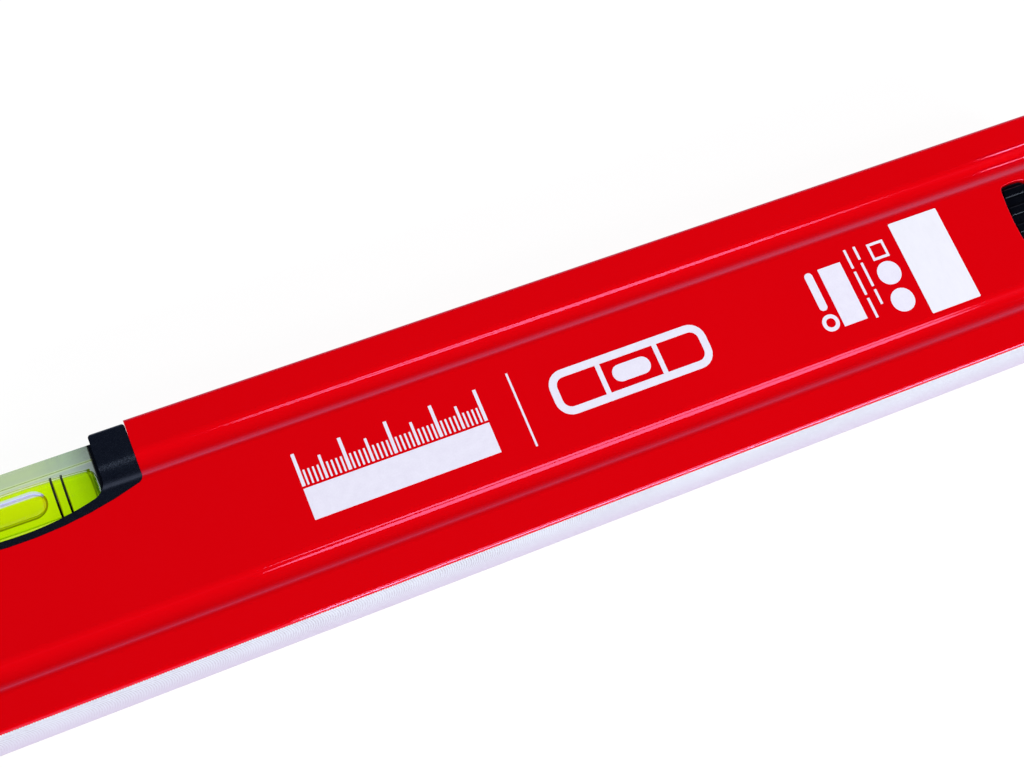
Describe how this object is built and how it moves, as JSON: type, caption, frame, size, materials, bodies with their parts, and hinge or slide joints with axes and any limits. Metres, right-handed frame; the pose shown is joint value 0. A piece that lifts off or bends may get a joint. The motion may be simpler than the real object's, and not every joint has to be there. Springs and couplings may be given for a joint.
{
  "type": "spirit level",
  "caption": "Aluminium box-section spirit level with a level vial in its top edge, a plumb vial, a milled working face and rubber end caps held by pressed-in catches.",
  "frame": {"origin": "middle of the level's footprint on the surface it lies on, under the back face", "axes": "+X along the level, +Y up its height away from the milled working face, +Z out of the front face"},
  "size_m": [0.5, 0.05, 0.023],
  "materials": {
    "coated_aluminium": "gloss red powder coat, working face milled bare",
    "housing_plastic": "satin black moulded",
    "clear_acrylic": "polished clear",
    "plug_plastic": "translucent",
    "vial_liquid": "clear yellow-green",
    "air_bubble": "clear",
    "ring_black": "matt black",
    "cap_plastic": "matt black moulded",
    "bumper_rubber": "matt black",
    "catch_plastic": "satin black, ribbed"
  },
  "bodies": {
    "level": {"profile": "coated_aluminium", "level_housing_front": "housing_plastic", "level_housing_back": "housing_plastic", "level_vial_block": "clear_acrylic", "level_vial_plug": "plug_plastic", "level_vial_liquid": "vial_liquid", "level_vial_rings": "ring_black", "plumb_housing_front": "housing_plastic", "plumb_housing_back": "housing_plastic", "plumb_vial_block": "clear_acrylic", "plumb_vial_plug": "plug_plastic", "plumb_vial_liquid": "vial_liquid", "plumb_vial_rings": "ring_black", "right_cap_core": "cap_plastic", "right_cap_bumper": "bumper_rubber", "left_cap_core": "cap_plastic", "left_cap_bumper": "bumper_rubber"},
    "level_bubble": {"level_vial_bubble": "air_bubble"},
    "plumb_bubble": {"plumb_vial_bubble": "air_bubble"},
    "right_front_catch": {"right_catch_front": "catch_plastic"},
    "right_back_catch": {"right_catch_back": "catch_plastic"},
    "left_front_catch": {"left_catch_front": "catch_plastic"},
    "left_back_catch": {"left_catch_back": "catch_plastic"}
  },
  "joints": [
    {"name": "level_bubble_run", "type": "slide", "parent": "level", "child": "level_bubble", "axis": [1, 0, 0], "range_m": [-0.009, 0.009]},
    {"name": "plumb_bubble_run", "type": "slide", "parent": "level", "child": "plumb_bubble", "axis": [0, 1, 0], "range_m": [-0.0072, 0.0072]},
    {"name": "right_front_catch_press", "type": "slide", "parent": "level", "child": "right_front_catch", "axis": [0, 0, -1], "range_m": [0, 0.002], "stiffness_N_per_m": 600, "springref_m": -0.002},
    {"name": "right_back_catch_press", "type": "slide", "parent": "level", "child": "right_back_catch", "axis": [0, 0, 1], "range_m": [0, 0.002], "stiffness_N_per_m": 600, "springref_m": -0.002},
    {"name": "left_front_catch_press", "type": "slide", "parent": "level", "child": "left_front_catch", "axis": [0, 0, -1], "range_m": [0, 0.002], "stiffness_N_per_m": 600, "springref_m": -0.002},
    {"name": "left_back_catch_press", "type": "slide", "parent": "level", "child": "left_back_catch", "axis": [0, 0, 1], "range_m": [0, 0.002], "stiffness_N_per_m": 600, "springref_m": -0.002}
  ]
}
